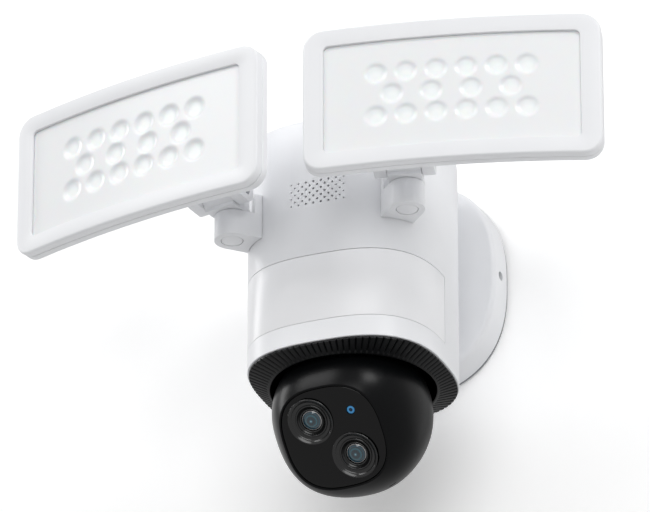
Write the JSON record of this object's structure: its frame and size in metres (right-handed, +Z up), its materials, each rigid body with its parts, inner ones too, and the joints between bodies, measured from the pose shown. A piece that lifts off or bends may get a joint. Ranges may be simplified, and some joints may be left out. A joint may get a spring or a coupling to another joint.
{
  "type": "floodlight security camera",
  "caption": "Wall-mounted security camera: upright housing with swivelling, tilting bowed floodlights on side arms and a ball head that pans and tilts below.",
  "frame": {"origin": "the wall face at the middle of the wall bracket's rear face", "axes": "+Z up the wall, +X to the right as seen from the front, the front faces -Y, so the wall is the plane Y = 0"},
  "size_m": [0.3328, 0.1795, 0.2177],
  "materials": {
    "white_plastic": "satin moulded ASA",
    "window_plastic": "smooth infrared-clear polyethylene",
    "inner_plastic": "moulded ABS",
    "black_plastic": "satin moulded ABS",
    "black_gloss": "polished PMMA",
    "diffuser": "milky polycarbonate",
    "white_board": "white solder mask",
    "circuit_board": "green solder mask",
    "acetal": "moulded acetal",
    "steel": "plain steel",
    "zinc_steel": "zinc-plated steel",
    "brass": "cut brass",
    "grey_rubber": "grey silicone sponge",
    "black_rubber": "black EPDM",
    "lens_glass": "coated lens glass",
    "blue_light": "clear blue light pipe"
  },
  "bodies": {
    "device": {"wall_base": "white_plastic", "base_gasket": "grey_rubber", "wall_bracket": "zinc_steel", "base_screw_left": "steel", "base_screw_right": "steel", "cable_gland": "black_rubber", "housing_shell": "white_plastic", "mount_screw_upper": "steel", "mount_screw_lower": "steel", "motion_window": "window_plastic", "well_frame": "inner_plastic", "trim_ring": "black_plastic", "speaker": "black_plastic", "motion_sensor_board": "circuit_board", "main_board": "circuit_board", "power_board": "circuit_board", "wifi_antenna": "white_board", "pan_bearing": "acetal", "pan_motor": "steel", "lamp_arm_left": "white_plastic", "arm_cap_left": "white_plastic", "lamp_arm_right": "white_plastic", "arm_cap_right": "white_plastic"},
    "head_pan": {"pan_gear": "acetal", "yoke": "inner_plastic", "tilt_motor": "steel", "axle_pin_left": "steel", "axle_pin_right": "steel"},
    "pan_drive": {"pan_pinion": "brass"},
    "head": {"head_shell": "black_plastic", "head_cover": "black_plastic", "face_plate": "black_gloss", "wide_lens_bezel": "black_gloss", "wide_lens": "lens_glass", "wide_lens_barrel": "black_plastic", "tele_lens_bezel": "black_gloss", "tele_lens": "lens_glass", "tele_lens_barrel": "black_plastic", "status_light": "blue_light", "camera_board": "circuit_board", "microphone": "steel", "tilt_gear": "acetal"},
    "tilt_drive": {"tilt_pinion": "brass"},
    "left_neck": {"swivel_neck_left": "white_plastic", "pivot_screw_left": "steel"},
    "left_lamp": {"lamp_frame_left": "white_plastic", "lamp_diffuser_left": "diffuser", "led_board_left": "white_board", "lamp_back_left": "white_plastic", "hinge_pin_left": "steel"},
    "right_neck": {"swivel_neck_right": "white_plastic", "pivot_screw_right": "steel"},
    "right_lamp": {"lamp_frame_right": "white_plastic", "lamp_diffuser_right": "diffuser", "led_board_right": "white_board", "lamp_back_right": "white_plastic", "hinge_pin_right": "steel"}
  },
  "joints": [
    {"name": "pan", "type": "hinge", "parent": "device", "child": "head_pan", "pos_m": [0, -0.073, -0.0465], "axis": [0, 0, 1], "range_deg": [-170.2, 179.8]},
    {"name": "pan_pinion_spin", "type": "hinge", "parent": "device", "child": "pan_drive", "pos_m": [0, -0.045, -0.0465], "axis": [0, 0, 1], "range_deg": [-660, 625]},
    {"name": "tilt", "type": "hinge", "parent": "head_pan", "child": "head", "pos_m": [0, -0.073, -0.1017], "axis": [0.9965, -0.0837, 0], "range_deg": [-50, 34]},
    {"name": "tilt_pinion_spin", "type": "hinge", "parent": "head_pan", "child": "tilt_drive", "pos_m": [0.00092, -0.06201, -0.09244], "axis": [0.9965, -0.0837, 0], "range_deg": [-90, 131]},
    {"name": "left_swivel", "type": "hinge", "parent": "device", "child": "left_neck", "pos_m": [-0.04971, -0.12271, 0.0026], "axis": [0, 0, 1], "range_deg": [-75, 10]},
    {"name": "left_tilt", "type": "hinge", "parent": "left_neck", "child": "left_lamp", "pos_m": [-0.05181, -0.13151, 0.0096], "axis": [0.9728, -0.2317, 0], "range_deg": [-20, 55]},
    {"name": "right_swivel", "type": "hinge", "parent": "device", "child": "right_neck", "pos_m": [0.04971, -0.12271, 0.0026], "axis": [0, 0, 1], "range_deg": [-10, 75]},
    {"name": "right_tilt", "type": "hinge", "parent": "right_neck", "child": "right_lamp", "pos_m": [0.05181, -0.13151, 0.0096], "axis": [0.9728, 0.2317, 0], "range_deg": [-20, 55]}
  ],
  "couplings": [
    {"joint": "pan_pinion_spin", "follows": "pan", "ratio": -3.6667},
    {"joint": "tilt_pinion_spin", "follows": "tilt", "ratio": -2.6}
  ]
}
